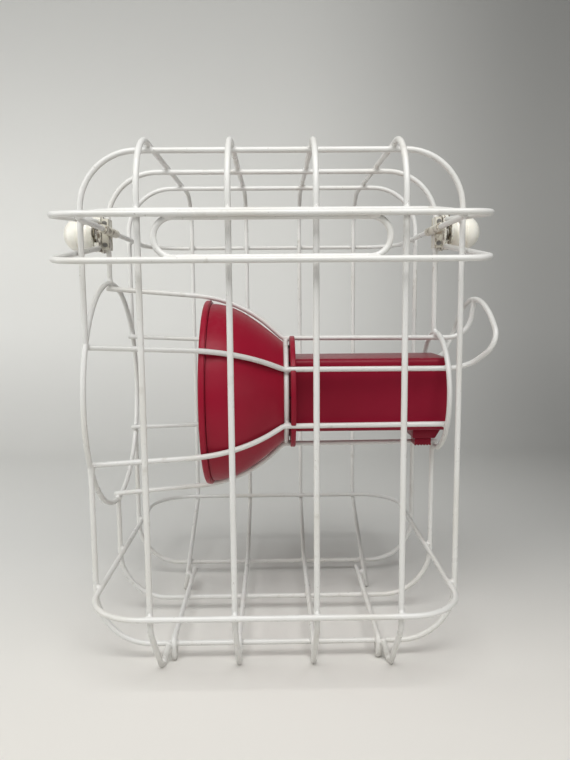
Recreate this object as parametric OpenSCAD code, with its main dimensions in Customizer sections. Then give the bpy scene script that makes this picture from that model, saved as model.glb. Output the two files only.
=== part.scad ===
// Caged battery hand lamp: a coated wire cage on wire feet, a lamp held in a wire cradle through the
// middle of the cage, and a double-wire carrying handle that folds over it on two clamp knobs.
// X runs along the lamp, -Y is the front, +Z is up, and the floor is Z = 0.

/* [Wire] */
// Diameter of the coated wire
wire_d = 5; // [4.5:0.1:5.2]
// Depth that crossing wires sink into each other at a weld
weld_sink = 0.1; // [0.05:0.05:0.2]

/* [Cage] */
// Half of the width over the hoops' wire centres
hoop_half_w = 164; // [160:1:170]
// Height of the hoops' bottom wires
hoop_bottom_z = 15.5; // [15:0.5:18]
// Height of the hoops' top wires
hoop_top_z = 455.5; // [450:0.5:470]
// Corner radius of the hoops
hoop_r = 50; // [46:1:52]
// Distance between neighbouring hoops
hoop_pitch = 96; // [90:1:100]
// Reach of the long wires in front of the middle hoop
front_reach = 155; // [150:1:160]
// Reach of the long wires behind the middle hoop
back_reach = 194; // [188:1:200]
// Distance of the inner long wires from the middle plane
inner_x = 34; // [30:1:40]
// Distance of the outer long wires from the middle plane
outer_x = 104; // [98:1:106]
// Radius of the long wires' top front bend
top_front_r = 51; // [45:1:54]
// Radius of the long wires' top back bend
top_back_r = 41; // [36:1:45]
// Height of the lower ring
lower_ring_z = 70; // [69:1:72]
// Height of the upper ring
upper_ring_z = 397; // [396:1:400]
// Corner radius of both rings
ring_r = 48; // [42:1:50]

/* [Feet] */
// Slope of the front legs of the feet, in degrees
foot_slope = 50; // [48:1:52]
// Bend radius at the tips of the feet
foot_r = 5; // [4:0.5:6]
// Gap between an outer long wire and its foot rail
foot_rail_gap = 10; // [8:1:12]

/* [Cradle] */
// Height of the lamp's axis
axis_z = 236; // [234:1:238]
// Radius of the inlet ring, on the open side of the bell
inlet_r = 111; // [110:1:114]
// Radius of the neck ring, which the lamp is clamped on
neck_r = 50; // [49.8:0.1:50.4]
// Radius of the outlet ring, round the end of the case
outlet_r = 59; // [57:0.5:60]
// Place of the neck ring along the axis
neck_x = 12; // [11.5:0.5:12.5]
// Radius of the arch on the flared lip
lip_r = 92.6; // [88:0.2:96]
// Place of the arch along the axis
lip_x = 205; // [203:0.5:207]

/* [Lamp] */
// Outer radius of the bell's rim
rim_r = 93.5; // [92:0.5:94]
// Outer side of the square battery case
case_w = 72; // [70:0.5:72]
// Wall of the bell and the case
wall = 1.6; // [1.4:0.1:2]
// Radius of the mounting flange
flange_r = 57; // [55:0.5:58]
// Length of the case behind the flange
case_len = 150; // [140:0.5:151]
// Length of the switch slider
slider_len = 16.4; // [14:0.2:17]

/* [Handle] */
// Height of the handle's pivot axis
pivot_z = 395; // [394:0.5:396]
// Distance of the handle's arms from the middle plane
arm_x = 171.5; // [171:0.5:172]
// Height of the upper rail at the front
upper_rail_z = 394; // [393:0.5:395]
// Height of the lower rail at the front
lower_rail_z = 359.5; // [356:0.5:362]
// Corner radius of the rails
rail_r = 25; // [20:1:28]
// Distance of the arms' ends from the pivot axis, up and down
arm_spread = 12.5; // [12:0.5:13]
// Length of the grip loop over its wire centres
grip_len = 180; // [150:1:190]
// Radius of the knobs
knob_r = 16.5; // [14:0.5:18]

/* [Hidden] */
$fn = 64;

// A straight run laps this far over the start of a bend, which is thinner by this step
bend_lap = 0.2;
bend_step = 0.02;

// Shared clearances
weld_pitch = wire_d - weld_sink;
wire_r = wire_d / 2;
slip = 0.05;
gap = 0.3;

// Stations along Y; the middle hoop's place centres the whole object on Y = 0
ring_front_reach = front_reach + weld_pitch;
ring_back_reach = back_reach + weld_pitch;
grip_reach = ring_front_reach + wire_d + gap + slip;
rail_drop = 2;
rail_reach = grip_reach + sqrt(weld_pitch * weld_pitch - rail_drop * rail_drop);
mid_y = (rail_reach - ring_back_reach) / 2;
front_hoop_y = mid_y - hoop_pitch;
rear_hoop_y = mid_y + hoop_pitch;
front_y = mid_y - front_reach;
back_y = mid_y + back_reach;

// Heights of the long wires
top_z = hoop_top_z + weld_pitch;
run_z = hoop_bottom_z + weld_pitch;

// Back of the long wires: one knee for all, then a line that lies on the rear hoop
knee_z = 66;
knee_r = 20;
run_bend_r = 40;
knee_rise = knee_z - hoop_bottom_z;
knee_run = back_reach - hoop_pitch;
outer_slope = atan(knee_rise / knee_run) - asin(weld_pitch / norm([knee_rise, knee_run]));
bend_rise = knee_z - run_z - run_bend_r;
inner_slope = atan(bend_rise / knee_run) + asin(run_bend_r / norm([bend_rise, knee_run]));
run_corner_y = rear_hoop_y + run_bend_r * tan(inner_slope / 2);

// Back bar of the lower ring, inside the bend of the outer long wires
knee_trim = knee_r * tan((90 - outer_slope) / 2);
knee_centre_drop = knee_z + knee_trim - lower_ring_z;
knee_inset = knee_r - weld_pitch;
lower_back_y = back_y - knee_r + sqrt(knee_inset * knee_inset - knee_centre_drop * knee_centre_drop);

// Radial profile of a cradle wire: inside the inlet ring, round the bell and the neck ring, and inside
// the outlet ring
inlet_wire_r = inlet_r - weld_pitch;
shoulder_x = -34;
shoulder_wire_r = 94.6;
shoulder_bend_r = 128;
neck_bend_r = 8;
neck_corner_x = neck_x - 2.8;
neck_wire_r = neck_r + weld_pitch;
outlet_x = hoop_half_w + 2;
outlet_wire_r = outlet_r - weld_pitch;
lip_corner_x = 184;
lip_corner_r = outlet_wire_r - weld_sink;
lip_bend_r = 30;
top_lip_corner_x = 199;
top_lip_bend_r = 24;
lip_end_angle = 45;
lip_end_bend_r = 16;
lip_lead = 18;

// Ends of the middle hoops, sunk into the outside of the outlet ring
tee_sink = 1.5;
hoop_outlet_end = outlet_r + wire_r - tee_sink;

// Lamp stations along X
rim_x = -68;
rim_len = 6;
bell_x = rim_x + rim_len;
bell_mouth_r = 90;
bell_neck_r = 51;
neck_play = 0.1;
bell_neck_x = neck_x - wire_r - neck_play;
spigot_r = 43;
spigot_lip_r = 44.8;
spigot_lip_t = 0.8;
screw_gap = 1.6;
flange_x = neck_x + wire_r + screw_gap;
flange_t = 5;
case_x = flange_x + flange_t;
case_r = 5;
bore_play = 0.5;
screw_ring_r = 45.8;
screw_count = 8;
screw_d = 1.9;
screw_head_d = 3.4;
screw_head_t = 1.4;
lens_t = 3;
lens_r = 86;
gasket_t = 1.5;
reflector_r = 82;
reflector_depth = 62;
reflector_neck_r = 14;
lens_x = rim_x + 1.5;
reflector_x = lens_x + lens_t + gasket_t;
holder_r = 13;
holder_len = flange_x - 2 - reflector_x - reflector_depth;

// Battery inside the case
battery_w = 67;
battery_len = 112;
battery_x = case_x + 22;
switch_x = 139;
switch_len = 22.5;
switch_slope_len = 6;
switch_h = 10;
switch_w = 48;
slider_x = switch_x + 2.5;
slider_h = 7.4;
slider_front = 22;
slider_back = 3.5;

// Hub stations along X, outwards from the cage
clamp_in_x = hoop_half_w - 2.2;
clamp_out_x = 168.1;
plate_in_x = clamp_out_x + gap;
plate_out_x = plate_in_x + 7.2;
washer_out_x = plate_out_x + gap + 1;
knob_in_x = washer_out_x + gap;
knob_out_x = lip_x + wire_r;
stud_r = 3;
plate_r = 18;
plate_t = 2;
boss_r = 7;
clamp_w = 17;
clamp_h = 30;
clamp_screw_x = 165;
clamp_screw_rise = 10.5;

// Colours
ivory = [0.93, 0.92, 0.87];
knob_ivory = [0.95, 0.94, 0.88];
red = [0.62, 0.06, 0.13];
steel = [0.7, 0.7, 0.72];
black = [0.08, 0.08, 0.09];

// Vector helpers
function unit(v) = v / norm(v);
function turn_at(p, i) = acos(unit(p[i] - p[i - 1]) * unit(p[i + 1] - p[i]));
function is_end(p, i) = i == 0 || i == len(p) - 1;
function trim_at(p, r, i) = is_end(p, i) ? 0 : r[i - 1] * tan(turn_at(p, i) / 2);
function lapped_trim(p, r, i) = is_end(p, i) ? 0 : trim_at(p, r, i) - bend_lap;
function side_of(u, v) = unit(v - (u * v) * u);
function bend_centre(p, u, v, r) = p - r * tan(acos(u * v) / 2) * u + r * side_of(u, v);
function bend_tilt(u, v) = sqrt(1 - pow(unit(cross(u, v))[2], 2));

// Height of a corner point that sets the lowest point of its bend on the floor
function foot_corner_z(u, v, r) = wire_r - bend_centre([0, 0, 0], u, v, r)[2] + r * bend_tilt(u, v);

// Point on a cylinder round the lamp's axis; the angle is 0 at the front and 90 at the top
function axial(x, r, a) = [x, mid_y - r * cos(a), axis_z + r * sin(a)];

// Cubic curve with four control points
function cubic(c, t) = pow(1 - t, 3) * c[0] + 3 * pow(1 - t, 2) * t * c[1]
    + 3 * (1 - t) * t * t * c[2] + t * t * t * c[3];
function curve(c, steps) = [for (i = [0 : steps]) cubic(c, i / steps)];

// Straight round bar between two points
module rod(a, b, d = wire_d) {
    v = b - a;
    tilt = acos(v[2] / norm(v));
    turn = atan2(v[1], v[0]);
    translate(a)
        rotate([0, tilt, turn])
            cylinder(d = d, h = norm(v));
}

// Round bend at corner p, from direction u to direction v
module bend(p, u, v, r, d = wire_d) {
    n = side_of(u, v);
    w = cross(-n, u);
    c = bend_centre(p, u, v, r);
    multmatrix([[-n[0], u[0], w[0], c[0]], [-n[1], u[1], w[1], c[1]],
        [-n[2], u[2], w[2], c[2]], [0, 0, 0, 1]])
        rotate_extrude(angle = acos(u * v))
            translate([r, 0])
                circle(d = d - 2 * bend_step);
}

// Wire along points p, with one bend radius in r for each inner point
module wire(p, r, d = wire_d) {
    for (i = [0 : len(p) - 2]) {
        u = unit(p[i + 1] - p[i]);
        rod(p[i] + lapped_trim(p, r, i) * u, p[i + 1] - lapped_trim(p, r, i + 1) * u, d);
    }
    for (i = [1 : 1 : len(p) - 2])
        bend(p[i], unit(p[i] - p[i - 1]), unit(p[i + 1] - p[i]), r[i - 1], d);
}

// Turned shape about the lamp's axis: outline points are [radius, place along X]
module turned(outline, x = 0) {
    translate([x, mid_y, axis_z])
        rotate([0, 90, 0])
            rotate_extrude()
                polygon(outline);
}

// Bar or tube along the lamp's axis
module axial_cylinder(x, r, length) {
    translate([x, mid_y, axis_z])
        rotate([0, 90, 0])
            cylinder(r = r, h = length);
}

// Square block with rounded corners along the lamp's axis
module axial_block(x, w, r, length) {
    translate([x, mid_y, axis_z])
        rotate([0, 90, 0])
            linear_extrude(length)
                rounded_square(w, r);
}

module rounded_square(w, r) {
    square([w, w - 2 * r], center = true);
    square([w - 2 * r, w], center = true);
    for (sx = [-1, 1], sy = [-1, 1])
        translate([sx * (w / 2 - r), sy * (w / 2 - r)])
            circle(r = r);
}

// Circle of wire about the lamp's axis
module axial_ring(x, r) {
    color(ivory)
        translate([x, mid_y, axis_z])
            rotate([0, 90, 0])
                rotate_extrude()
                    translate([r, 0])
                        circle(d = wire_d);
}

// Hoop whose left side is open between two heights
module open_hoop(y) {
    reach = sqrt(inlet_r * inlet_r - hoop_pitch * hoop_pitch);
    color(ivory)
        wire([[-hoop_half_w, y, axis_z + reach], [-hoop_half_w, y, hoop_top_z],
            [hoop_half_w, y, hoop_top_z], [hoop_half_w, y, hoop_bottom_z],
            [-hoop_half_w, y, hoop_bottom_z], [-hoop_half_w, y, axis_z - reach]],
            [hoop_r, hoop_r, hoop_r, hoop_r]);
}

module hoop_front() {
    open_hoop(front_hoop_y);
}

module hoop_rear() {
    open_hoop(rear_hoop_y);
}

module hoop_middle_upper() {
    color(ivory)
        wire([[-hoop_half_w, mid_y, axis_z + inlet_r], [-hoop_half_w, mid_y, hoop_top_z],
            [hoop_half_w, mid_y, hoop_top_z], [hoop_half_w, mid_y, axis_z + hoop_outlet_end]],
            [hoop_r, hoop_r]);
}

module hoop_middle_lower() {
    color(ivory)
        wire([[-hoop_half_w, mid_y, axis_z - inlet_r], [-hoop_half_w, mid_y, hoop_bottom_z],
            [hoop_half_w, mid_y, hoop_bottom_z], [hoop_half_w, mid_y, axis_z - hoop_outlet_end]],
            [hoop_r, hoop_r]);
}

// Inner long wire: a closed loop over the top and under the bottom, with one foot at the front
module long_wire_inner(x) {
    down = [0, cos(foot_slope), -sin(foot_slope)];
    up = [0, 0, 1];
    tip_y = front_hoop_y - weld_pitch;
    tip = [x, tip_y, foot_corner_z(down, up, foot_r)];
    knee = [x, front_y, tip[2] + (tip_y - front_y) * tan(foot_slope)];
    seam = [x, mid_y, top_z];
    color(ivory)
        wire([seam, [x, back_y, top_z], [x, back_y, knee_z], [x, run_corner_y, run_z],
            [x, tip_y, run_z], tip, knee, [x, front_y, top_z], seam],
            [top_back_r, knee_r, run_bend_r, weld_pitch, foot_r, knee_r, top_front_r]);
}

// Outer long wire: open at the bottom, with a foot at each end that closes on the foot rail
module long_wire_outer(side) {
    x = side * outer_x;
    end_shift = side * (weld_pitch - foot_rail_gap);
    front_down = [0, cos(foot_slope), -sin(foot_slope)];
    front_up = unit([end_shift, 2, 20]);
    front_tip = [x, front_hoop_y - weld_pitch - 4, foot_corner_z(front_down, front_up, foot_r)];
    knee = [x, front_y, front_tip[2] + (front_tip[1] - front_y) * tan(foot_slope)];
    back_down = [0, -cos(outer_slope), -sin(outer_slope)];
    back_up = unit([end_shift, -6, 20]);
    back_tip_z = foot_corner_z(back_down, back_up, foot_r);
    back_tip = [x, back_y - (knee_z - back_tip_z) / tan(outer_slope), back_tip_z];
    leg = 24;
    color(ivory)
        wire([front_tip + leg * front_up, front_tip, knee, [x, front_y, top_z], [x, back_y, top_z],
            [x, back_y, knee_z], back_tip, back_tip + leg * back_up],
            [foot_r, knee_r, top_front_r, top_back_r, knee_r, foot_r]);
}

// Foot rail: a bottom wire beside an outer long wire, hooked round the front hoop
module foot_rail(side) {
    x = side * (outer_x - foot_rail_gap);
    hook_front = front_hoop_y - weld_pitch;
    hook_back = front_hoop_y + weld_pitch;
    color(ivory)
        wire([[x, mid_y + hoop_pitch - 32, run_z], [x, hook_front, run_z], [x, hook_front, wire_r],
            [x, hook_back, wire_r], [x, hook_back, hoop_bottom_z]],
            [weld_pitch, weld_pitch - 0.01, weld_pitch - 0.01]);
}

// Horizontal ring outside the front wires and inside the hoops
module side_ring(z, ring_back_y) {
    x = hoop_half_w - weld_pitch;
    front = mid_y - ring_front_reach;
    seam = [0, front, z];
    color(ivory)
        wire([seam, [x, front, z], [x, ring_back_y, z], [-x, ring_back_y, z], [-x, front, z], seam],
            [ring_r, ring_r, ring_r, ring_r]);
}

module lower_ring() {
    side_ring(lower_ring_z, lower_back_y);
}

module upper_ring() {
    side_ring(upper_ring_z, mid_y + ring_back_reach);
}

// Stations of a cradle wire up to the outlet ring
function cradle_path(a) = [axial(-hoop_half_w - wire_r, inlet_wire_r, a),
    axial(shoulder_x, shoulder_wire_r, a), axial(neck_corner_x, neck_wire_r, a)];

// Cradle wire that ends on the outlet ring
module short_cradle_wire(a) {
    color(ivory)
        wire(concat(cradle_path(a), [axial(outlet_x + wire_r, outlet_wire_r, a)]),
            [shoulder_bend_r, neck_bend_r]);
}

// Cradle wire that flares out past the outlet ring and turns into the arch
module flared_cradle_wire(a, end_a) {
    side = sign(90 - a);
    lip_end = axial(lip_x, lip_r, end_a);
    lead = side * lip_lead * [0, sin(end_a), cos(end_a)];
    color(ivory)
        wire(concat(cradle_path(a), [axial(lip_corner_x, lip_corner_r, a), lip_end - lead, lip_end]),
            [shoulder_bend_r, neck_bend_r, lip_bend_r, lip_end_bend_r]);
}

module cradle_wire_top() {
    color(ivory)
        wire(concat(cradle_path(90),
            [axial(top_lip_corner_x, lip_corner_r, 90), axial(lip_x, lip_r, 90)]),
            [shoulder_bend_r, neck_bend_r, top_lip_bend_r]);
}

module lip_arch() {
    color(ivory)
        translate([lip_x, mid_y, axis_z])
            rotate([0, 90, 0])
                rotate([0, 0, 90 + lip_end_angle])
                    rotate_extrude(angle = 180 - 2 * lip_end_angle)
                        translate([lip_r, 0])
                            circle(d = wire_d);
}

// Pivot line of the handle, outwards on one side
module on_pivot(side, x) {
    translate([side * x, mid_y, pivot_z])
        rotate([0, side * 90, 0])
            children();
}

// Clamp block on the middle hoop, with a sleeve along the upper ring
module hub_clamp(side) {
    sleeve_front = 40;
    sleeve_back = 12;
    sleeve_x = side * (hoop_half_w - weld_pitch);
    color(knob_ivory)
        difference() {
            union() {
                translate([side * (clamp_in_x + clamp_out_x) / 2, mid_y, pivot_z])
                    cube([clamp_out_x - clamp_in_x, clamp_w, clamp_h], center = true);
                rod([sleeve_x, mid_y - sleeve_front, upper_ring_z],
                    [sleeve_x, mid_y + sleeve_back, upper_ring_z], wire_d + 3);
            }
            rod([side * hoop_half_w, mid_y, pivot_z - clamp_h],
                [side * hoop_half_w, mid_y, pivot_z + clamp_h], wire_d + 2 * slip);
            rod([sleeve_x, mid_y - 2 * sleeve_front, upper_ring_z],
                [sleeve_x, mid_y + 2 * sleeve_back, upper_ring_z], wire_d + 2 * slip);
            on_pivot(side, hoop_half_w + wire_r)
                cylinder(r = 6 + slip, h = 10);
            clamp_screw_shanks(side, 2.4 + slip);
        }
}

// Shanks of the two screws in the front of a clamp block
module clamp_screw_shanks(side, d) {
    for (up = [-1, 1])
        translate([side * clamp_screw_x, mid_y - clamp_w / 2, pivot_z + up * clamp_screw_rise])
            rotate([-90, 0, 0])
                cylinder(d = d, h = 5);
}

// Two slotted screws that close the clamp on the hoop
module clamp_screws(side) {
    head_t = 1.6;
    color(steel) {
        clamp_screw_shanks(side, 2.4);
        for (up = [-1, 1])
            translate([side * clamp_screw_x, mid_y - clamp_w / 2, pivot_z + up * clamp_screw_rise])
                rotate([90, 0, 0])
                    difference() {
                        cylinder(d = 4.6, h = head_t);
                        translate([-3, -0.4, head_t - 0.7])
                            cube([6, 0.8, 1]);
                    }
    }
}

// Stud with a flat head against the hoop wire
module pivot_stud(side) {
    head_x = hoop_half_w + wire_r + slip;
    color(steel) {
        on_pivot(side, head_x)
            cylinder(r = 6, h = clamp_out_x - head_x);
        on_pivot(side, head_x)
            cylinder(r = stud_r, h = 193 - head_x);
    }
}

module hub_washer(side) {
    color(steel)
        on_pivot(side, plate_out_x + gap)
            difference() {
                cylinder(r = 9, h = 1);
                translate([0, 0, -1])
                    cylinder(r = stud_r + slip, h = 3);
            }
}

// Thin plate that turns on the stud, with a boss and two lugs round the ends of the arms
module hub_plate(side) {
    lug_len = 6;
    lug_h = 9;
    lug_back = 4;
    full_t = plate_out_x - plate_in_x;
    color(knob_ivory)
        difference() {
            union() {
                on_pivot(side, plate_in_x) {
                    cylinder(r = plate_r, h = plate_t);
                    cylinder(r = boss_r, h = full_t);
                }
                for (up = [-1, 1])
                    translate([side * (plate_in_x + full_t / 2), mid_y - lug_back - lug_len / 2,
                        pivot_z + up * arm_spread])
                        cube([full_t, lug_len, lug_h], center = true);
            }
            on_pivot(side, plate_in_x - 1)
                cylinder(r = stud_r + slip, h = 10);
            rod(arm_end(side, 1) + [0, slip, 0], arm_front(side, upper_rail_z), wire_d + 2 * slip);
            rod(arm_end(side, -1) + [0, slip, 0], arm_front(side, lower_rail_z), wire_d + 2 * slip);
        }
}

function arm_end(side, up) = [side * arm_x, mid_y - 1, pivot_z + up * arm_spread];
function arm_front(side, z) = [side * arm_x, mid_y - rail_reach, z];

// One rail of the handle: two arms and a front bar
module handle_rail(up, z) {
    color(ivory)
        wire([arm_end(-1, up), arm_front(-1, z), arm_front(1, z), arm_end(1, up)], [rail_r, rail_r]);
}

module handle_upper_rail() {
    handle_rail(1, upper_rail_z);
}

module handle_lower_rail() {
    handle_rail(-1, lower_rail_z);
}

// Long loop behind both rails, for the hand
module handle_grip_loop() {
    y = mid_y - grip_reach;
    top = upper_rail_z - rail_drop;
    bottom = lower_rail_z + rail_drop;
    r = (top - bottom) / 2;
    x = grip_len / 2;
    color(ivory)
        wire([[0, y, top], [x, y, top], [x, y, bottom], [-x, y, bottom], [-x, y, top], [0, y, top]],
            [r - 0.01, r - 0.01, r - 0.01, r - 0.01]);
}

// Domed clamp knob with a narrower skirt and a blind bore for the stud
module knob(side) {
    length = knob_out_x - knob_in_x;
    dome = 15;
    skirt_r = knob_r - 3.5;
    skirt_h = 1.2;
    flare_h = 5;
    color(knob_ivory)
        on_pivot(side, knob_in_x)
            difference() {
                rotate_extrude()
                    polygon(concat([[0, 0], [skirt_r, 0], [skirt_r, skirt_h], [knob_r, flare_h]],
                        [for (i = [0 : 15]) [knob_r * cos(i * 6), length - dome + dome * sin(i * 6)]],
                        [[0, length]]));
                translate([0, 0, -1])
                    cylinder(r = stud_r + slip, h = 18);
            }
}

// Outline of the bell's outer side, from the mouth to the neck
bell_curve = [[bell_mouth_r, bell_x], [bell_mouth_r, -38], [73, -17], [bell_neck_r, bell_neck_x]];
bell_steps = 24;

module bell_shell() {
    outer = curve(bell_curve, bell_steps);
    inner = [for (i = [bell_steps : -1 : 0]) outer[i] - [wall * 1.25, 0]];
    color(red)
        turned(concat(outer, [[spigot_r, bell_neck_x], [spigot_r, flange_x - spigot_lip_t],
            [spigot_lip_r, flange_x - spigot_lip_t], [spigot_lip_r, flange_x], [spigot_r - wall, flange_x],
            [spigot_r - wall, bell_neck_x - wall]], [for (p = inner) if (p[1] < bell_neck_x - 2 * wall) p]));
}

module bell_rim() {
    lip = 4;
    color(red)
        turned([[lens_r - lip, rim_x], [rim_r - 1.5, rim_x], [rim_r, rim_x + 1.5], [rim_r, bell_x - 1],
            [rim_r - 1, bell_x], [lens_r + 1, bell_x], [lens_r + 1, lens_x], [lens_r - lip, lens_x]]);
}

module lens() {
    color([0.85, 0.9, 0.92, 0.4])
        axial_cylinder(lens_x, lens_r, lens_t);
}

module lens_gasket() {
    color(black)
        difference() {
            axial_cylinder(lens_x + lens_t, lens_r, gasket_t);
            axial_cylinder(lens_x, lens_r - 4, 10);
        }
}

// Bowl that gathers the light, deepest at the bulb
module reflector() {
    bowl = curve([[reflector_r, 0], [reflector_r - 4, 26], [52, reflector_depth - 8],
        [reflector_neck_r, reflector_depth]], 16);
    back = [for (i = [16 : -1 : 0]) bowl[i] + [i == 16 ? 0 : 0.4, 1.2]];
    color([0.85, 0.85, 0.87])
        turned(concat([[lens_r, 0]], bowl, back, [[lens_r, 1.2]]), reflector_x);
}

module bulb() {
    glass_x = reflector_x + reflector_depth - 16;
    color([0.95, 0.93, 0.85, 0.6])
        translate([glass_x, mid_y, axis_z])
            sphere(r = 6);
    color(steel)
        axial_cylinder(glass_x + 4, 4.5, 16);
}

module bulb_holder() {
    holder_x = reflector_x + reflector_depth - 8;
    seat_x = reflector_x + reflector_depth - 2;
    color(black)
        difference() {
            union() {
                axial_cylinder(seat_x, 7.5, flange_x - seat_x);
                axial_cylinder(reflector_x + reflector_depth + 1.6, holder_r, holder_len);
            }
            axial_cylinder(holder_x, 4.5 + slip, 12 + slip);
        }
}

// Board across the flange's middle that carries the holder and the contacts
module contact_plate() {
    color([0.55, 0.4, 0.2])
        axial_cylinder(flange_x + slip, 24, 3);
}

// Disc that clamps the lamp on the neck ring, notched for the six cradle wires
module lamp_flange() {
    color(red)
        difference() {
            axial_cylinder(flange_x, flange_r, flange_t);
            axial_cylinder(flange_x - 1, 24 + slip, flange_t + 2);
            for (i = [0 : 5])
                rod(axial(neck_corner_x, neck_wire_r, 60 * i + 30),
                    axial(outlet_x, outlet_wire_r, 60 * i + 30), wire_d + 2 * bore_play);
            for (i = [0 : screw_count - 1])
                rod(axial(flange_x - 1, screw_ring_r, i * 360 / screw_count),
                    axial(case_x - 1, screw_ring_r, i * 360 / screw_count), screw_d + 2 * slip);
        }
}

// Screws in the flange whose heads hold the lip of the bell's spigot
module flange_screws() {
    seat_x = flange_x - spigot_lip_t;
    color(steel)
        for (i = [0 : screw_count - 1]) {
            a = i * 360 / screw_count;
            rod(axial(seat_x - screw_head_t / 2, screw_ring_r, a), axial(case_x - 1, screw_ring_r, a),
                screw_d);
            rod(axial(seat_x - screw_head_t, screw_ring_r, a), axial(seat_x, screw_ring_r, a), screw_head_d);
        }
}

module lamp_case() {
    color(red)
        difference() {
            axial_block(case_x, case_w, case_r, case_len);
            axial_block(case_x - 1, case_w - 2 * wall, case_r - wall, case_len - wall + 1);
        }
}

module battery() {
    color([0.25, 0.27, 0.3])
        axial_block(battery_x, battery_w, 4, battery_len);
}

// Two coil contacts between the battery and the contact plate, as plain sleeves
module battery_springs() {
    start_x = flange_x + slip + 3;
    color(steel)
        for (side = [-1, 1])
            translate([0, side * 14, 0])
                difference() {
                    axial_cylinder(start_x, 5, battery_x - start_x);
                    axial_cylinder(start_x - 1, 4, battery_x - start_x + 2);
                }
}

// Track of the switch under the rear end of the case, sloped up towards the end
module switch_base() {
    color(red)
        translate([switch_x, mid_y + switch_w / 2, axis_z - case_w / 2])
            rotate([90, 0, 0])
                linear_extrude(switch_w)
                    polygon([[0, 0], [0, -switch_h], [switch_len, -switch_h],
                        [switch_len + switch_slope_len, 0]]);
}

// Slider in front of the bottom cradle wire
module switch_slider() {
    color(red)
        translate([slider_x, mid_y - slider_front, axis_z - case_w / 2 - switch_h - gap - slider_h])
            cube([slider_len, slider_front - slider_back, slider_h]);
}

hoop_front();
hoop_middle_upper();
hoop_middle_lower();
hoop_rear();
long_wire_outer(-1);  // long_wire_outer_left
long_wire_inner(-inner_x);  // long_wire_inner_left
long_wire_inner(inner_x);  // long_wire_inner_right
long_wire_outer(1);  // long_wire_outer_right
foot_rail(-1);  // foot_rail_left
foot_rail(1);  // foot_rail_right
lower_ring();
upper_ring();
axial_ring(-hoop_half_w, inlet_r);  // inlet_ring
axial_ring(neck_x, neck_r);  // neck_ring
axial_ring(outlet_x, outlet_r);  // outlet_ring
cradle_wire_top();
flared_cradle_wire(30, lip_end_angle);  // cradle_wire_front_upper
short_cradle_wire(-30);  // cradle_wire_front_lower
short_cradle_wire(-90);  // cradle_wire_bottom
short_cradle_wire(-150);  // cradle_wire_back_lower
flared_cradle_wire(150, 180 - lip_end_angle);  // cradle_wire_back_upper
lip_arch();
hub_clamp(-1);  // hub_clamp_left
hub_clamp(1);  // hub_clamp_right
clamp_screws(-1);  // clamp_screws_left
clamp_screws(1);  // clamp_screws_right
pivot_stud(-1);  // pivot_stud_left
pivot_stud(1);  // pivot_stud_right
hub_washer(-1);  // hub_washer_left
hub_washer(1);  // hub_washer_right
bell_shell();
bell_rim();
lens();
lens_gasket();
reflector();
bulb();
bulb_holder();
contact_plate();
lamp_flange();
flange_screws();
lamp_case();
battery();
battery_springs();
switch_base();
switch_slider();
handle_upper_rail();
handle_lower_rail();
handle_grip_loop();
hub_plate(-1);  // hub_plate_left
hub_plate(1);  // hub_plate_right
knob(-1);  // knob_left
knob(1);  // knob_right
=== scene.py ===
import math

import bmesh
import bpy
import numpy as np
from mathutils import Matrix, Vector
from mathutils.bvhtree import BVHTree
from mathutils.geometry import intersect_ray_tri


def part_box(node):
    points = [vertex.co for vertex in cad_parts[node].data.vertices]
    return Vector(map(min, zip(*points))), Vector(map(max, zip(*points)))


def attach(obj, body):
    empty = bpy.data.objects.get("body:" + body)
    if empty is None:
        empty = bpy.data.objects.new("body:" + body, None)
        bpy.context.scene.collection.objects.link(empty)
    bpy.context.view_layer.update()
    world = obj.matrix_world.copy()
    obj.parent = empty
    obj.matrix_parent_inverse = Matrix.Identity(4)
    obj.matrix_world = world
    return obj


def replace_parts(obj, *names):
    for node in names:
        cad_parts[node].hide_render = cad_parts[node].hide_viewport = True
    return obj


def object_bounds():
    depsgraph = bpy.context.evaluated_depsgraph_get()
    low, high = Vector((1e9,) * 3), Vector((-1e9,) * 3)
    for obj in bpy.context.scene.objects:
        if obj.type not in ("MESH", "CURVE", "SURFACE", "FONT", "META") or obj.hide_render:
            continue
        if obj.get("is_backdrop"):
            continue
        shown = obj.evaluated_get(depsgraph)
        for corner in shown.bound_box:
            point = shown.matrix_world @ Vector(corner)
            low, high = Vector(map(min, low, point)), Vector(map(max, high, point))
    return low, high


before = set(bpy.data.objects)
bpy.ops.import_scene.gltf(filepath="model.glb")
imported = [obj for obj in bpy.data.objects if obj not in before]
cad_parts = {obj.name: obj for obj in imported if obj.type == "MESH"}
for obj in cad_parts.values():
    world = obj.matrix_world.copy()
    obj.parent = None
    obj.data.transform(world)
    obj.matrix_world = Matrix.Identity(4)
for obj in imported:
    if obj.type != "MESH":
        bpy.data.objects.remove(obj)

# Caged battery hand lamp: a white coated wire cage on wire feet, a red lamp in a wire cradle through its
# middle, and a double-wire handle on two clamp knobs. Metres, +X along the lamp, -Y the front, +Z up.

MM = 0.001

# Low and high corner of the CAD, taken before any piece is added
CAD_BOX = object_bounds()

# The wire nodes of each body, and the wires' radius
CAGE_WIRE_NAMES = ("hoop_", "long_wire_", "foot_rail_", "lower_ring", "upper_ring",
                   "inlet_", "neck_", "outlet_", "cradle_", "lip_")
CAGE_WIRES = [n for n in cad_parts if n.startswith(CAGE_WIRE_NAMES)]
HANDLE_WIRES = [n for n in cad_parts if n.startswith("handle_")]
WIRE_R = 2.5 * MM

# The lamp's axis runs along X through the middle of the neck ring
RING_LOW, RING_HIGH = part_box("neck_ring")
AXIS_Y = (RING_LOW[1] + RING_HIGH[1]) / 2
AXIS_Z = (RING_LOW[2] + RING_HIGH[2]) / 2

# Inner end of the knobs, where grime gathers
KNOB_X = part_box("knob_right")[0][0]

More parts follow.
